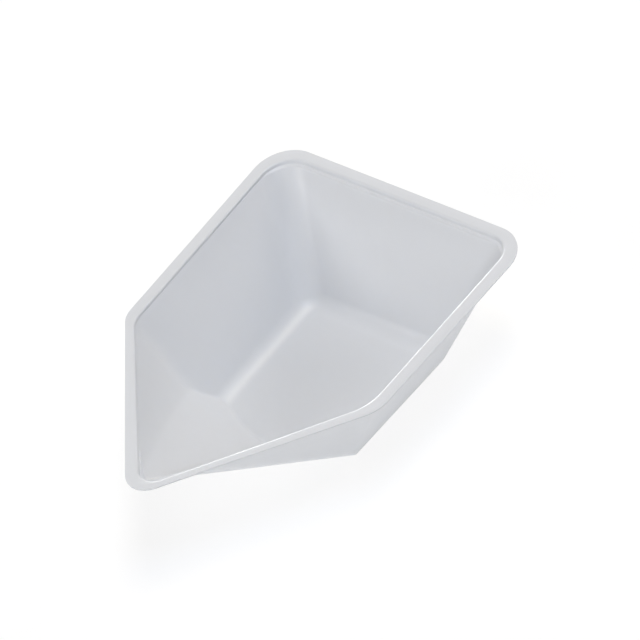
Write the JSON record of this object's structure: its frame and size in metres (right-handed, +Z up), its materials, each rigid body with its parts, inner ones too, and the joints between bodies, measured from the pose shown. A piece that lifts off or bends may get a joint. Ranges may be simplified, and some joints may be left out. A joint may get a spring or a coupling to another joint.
{
  "type": "weighing boat",
  "caption": "Thin formed plastic weighing boat: a deep tray with sloping walls, a flat flanged rim and a conical pouring spout at one end.",
  "frame": {"origin": "centre of the tray's outline, on the surface that it stands on", "axes": "+Z up, +X across the tray, +Y along the tray towards its square back end, so the pouring spout points along -Y"},
  "size_m": [0.0794, 0.1026, 0.0264],
  "materials": {
    "polystyrene": "cool white polystyrene sheet with a soft satin gloss, slightly translucent"
  },
  "bodies": {
    "root": {"boat": "polystyrene"}
  },
  "joints": []
}
